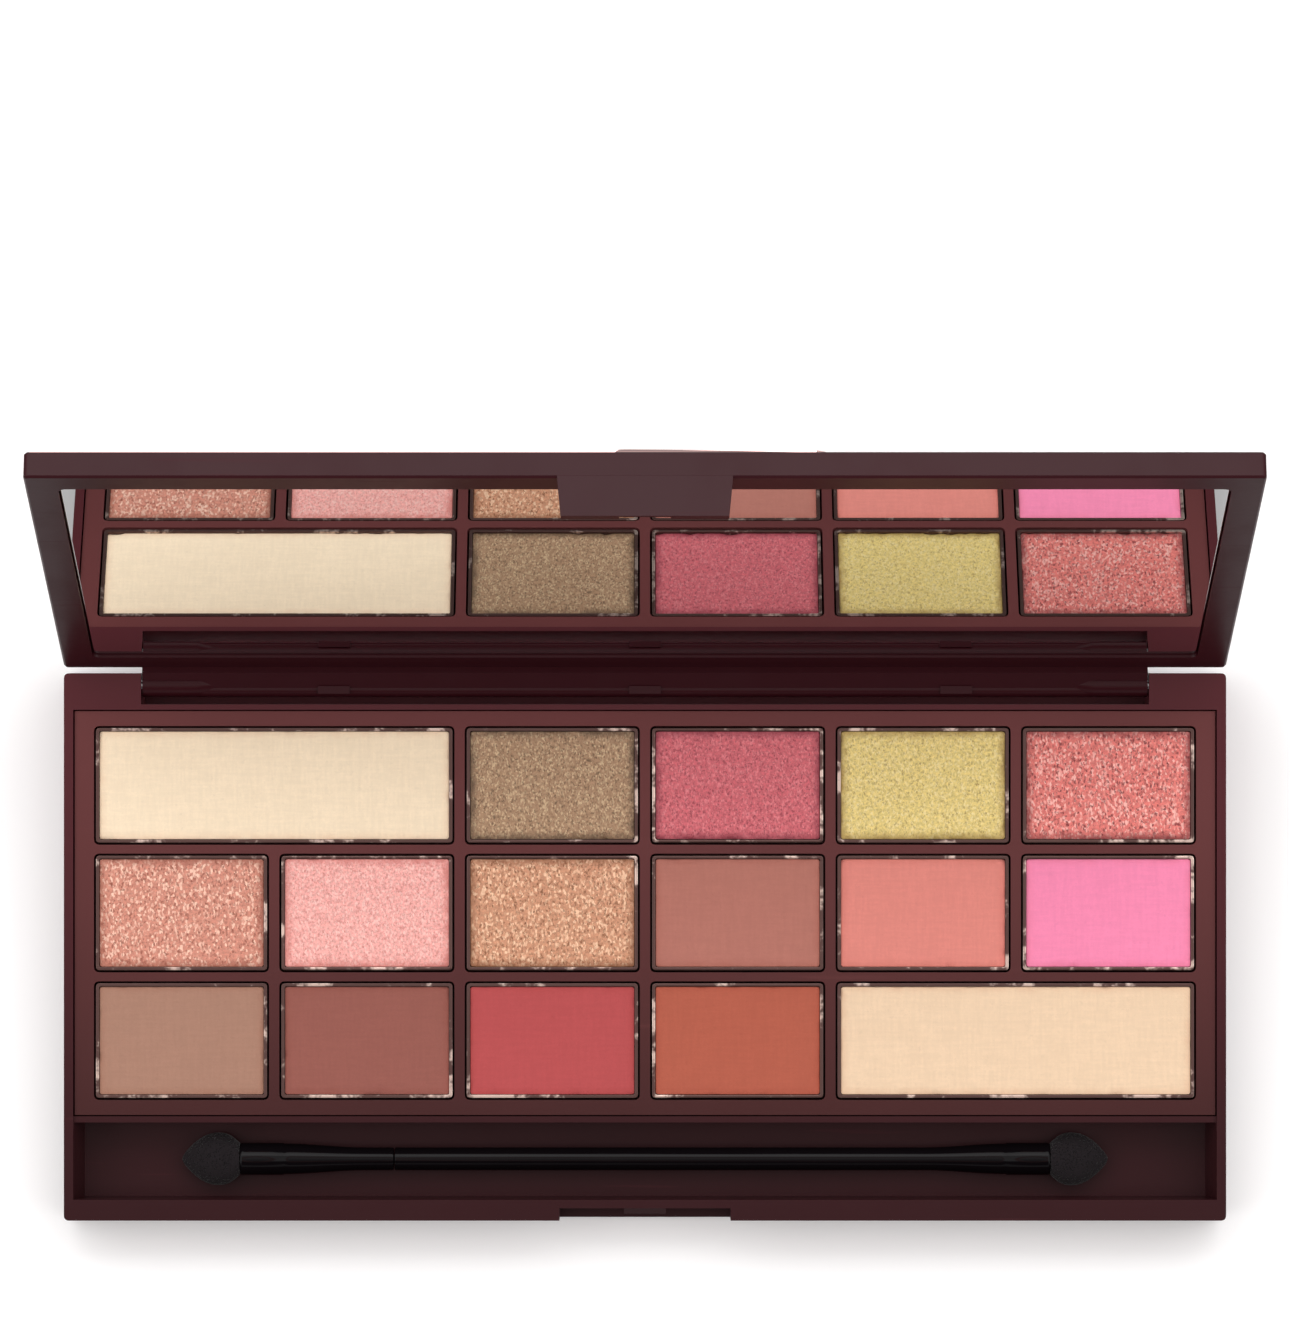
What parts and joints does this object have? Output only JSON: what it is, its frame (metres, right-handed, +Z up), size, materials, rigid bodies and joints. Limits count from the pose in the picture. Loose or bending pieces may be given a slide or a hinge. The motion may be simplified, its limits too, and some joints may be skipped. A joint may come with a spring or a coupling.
{
  "type": "eyeshadow palette",
  "caption": "Slim hinged make-up palette with pressed powder pans, a double-ended sponge applicator, an inner mirror and a melting-chocolate relief on its lid.",
  "frame": {"origin": "centre of the base's flat underside", "axes": "+X along the hinge, to the right with the palette facing the user; +Y to the hinge side; +Z up out of the pans"},
  "size_m": [0.15, 0.0982, 0.0732],
  "materials": {
    "case_plastic": "satin moulded dark brown",
    "tray_plastic": "satin moulded brown",
    "rose_gold": "vacuum-metallised rose gold, mirror bright",
    "pan_metal": "thin pressed metal, satin",
    "mirror_glass": "polished silvered mirror",
    "adhesive_sheet": "double-sided adhesive sheet",
    "handle_black": "glossy black",
    "sponge_foam": "charcoal open-cell foam",
    "hinge_steel": "plain steel wire pin",
    "powder_cream": "pressed powder, matte",
    "powder_olive_bronze": "pressed powder, shimmer",
    "powder_cranberry": "pressed powder, shimmer",
    "powder_lime_gold": "pressed powder, shimmer",
    "powder_coral_glitter": "pressed powder, shimmer",
    "powder_copper_rose": "pressed powder, shimmer",
    "powder_shell_pink": "pressed powder, shimmer",
    "powder_gold_copper": "pressed powder, shimmer",
    "powder_mauve_brown": "pressed powder, matte",
    "powder_soft_coral": "pressed powder, matte",
    "powder_hot_pink": "pressed powder, matte",
    "powder_taupe": "pressed powder, matte",
    "powder_russet": "pressed powder, matte",
    "powder_berry": "pressed powder, matte",
    "powder_rust": "pressed powder, matte",
    "powder_peach_cream": "pressed powder, matte"
  },
  "bodies": {
    "base": {"base_tub": "case_plastic", "hinge_pin_left": "hinge_steel", "hinge_pin_right": "hinge_steel", "pan_tray": "tray_plastic", "pan_cream": "pan_metal", "pan_olive_bronze": "pan_metal", "pan_cranberry": "pan_metal", "pan_lime_gold": "pan_metal", "pan_coral_glitter": "pan_metal", "pan_copper_rose": "pan_metal", "pan_shell_pink": "pan_metal", "pan_gold_copper": "pan_metal", "pan_mauve_brown": "pan_metal", "pan_soft_coral": "pan_metal", "pan_hot_pink": "pan_metal", "pan_taupe": "pan_metal", "pan_russet": "pan_metal", "pan_berry": "pan_metal", "pan_rust": "pan_metal", "pan_peach_cream": "pan_metal", "powder_cream": "powder_cream", "powder_olive_bronze": "powder_olive_bronze", "powder_cranberry": "powder_cranberry", "powder_lime_gold": "powder_lime_gold", "powder_coral_glitter": "powder_coral_glitter", "powder_copper_rose": "powder_copper_rose", "powder_shell_pink": "powder_shell_pink", "powder_gold_copper": "powder_gold_copper", "powder_mauve_brown": "powder_mauve_brown", "powder_soft_coral": "powder_soft_coral", "powder_hot_pink": "powder_hot_pink", "powder_taupe": "powder_taupe", "powder_russet": "powder_russet", "powder_berry": "powder_berry", "powder_rust": "powder_rust", "powder_peach_cream": "powder_peach_cream"},
    "applicator": {"applicator_handle_long": "handle_black", "applicator_handle_short": "handle_black", "sponge_tip_left": "sponge_foam", "sponge_tip_right": "sponge_foam"},
    "lid": {"lid_shell": "case_plastic", "mirror": "mirror_glass", "mirror_adhesive": "adhesive_sheet", "relief_plate": "rose_gold", "relief_adhesive": "adhesive_sheet"}
  },
  "joints": [
    {"name": "lid_hinge", "type": "hinge", "parent": "base", "child": "lid", "pos_m": [0, 0.03372, 0.0074], "axis": [-1, 0, 0], "range_deg": [-110, 70]},
    {"name": "applicator_slide", "type": "slide", "parent": "base", "child": "applicator", "axis": [1, 0, 0], "range_m": [-0.0128, 0.0128]}
  ]
}
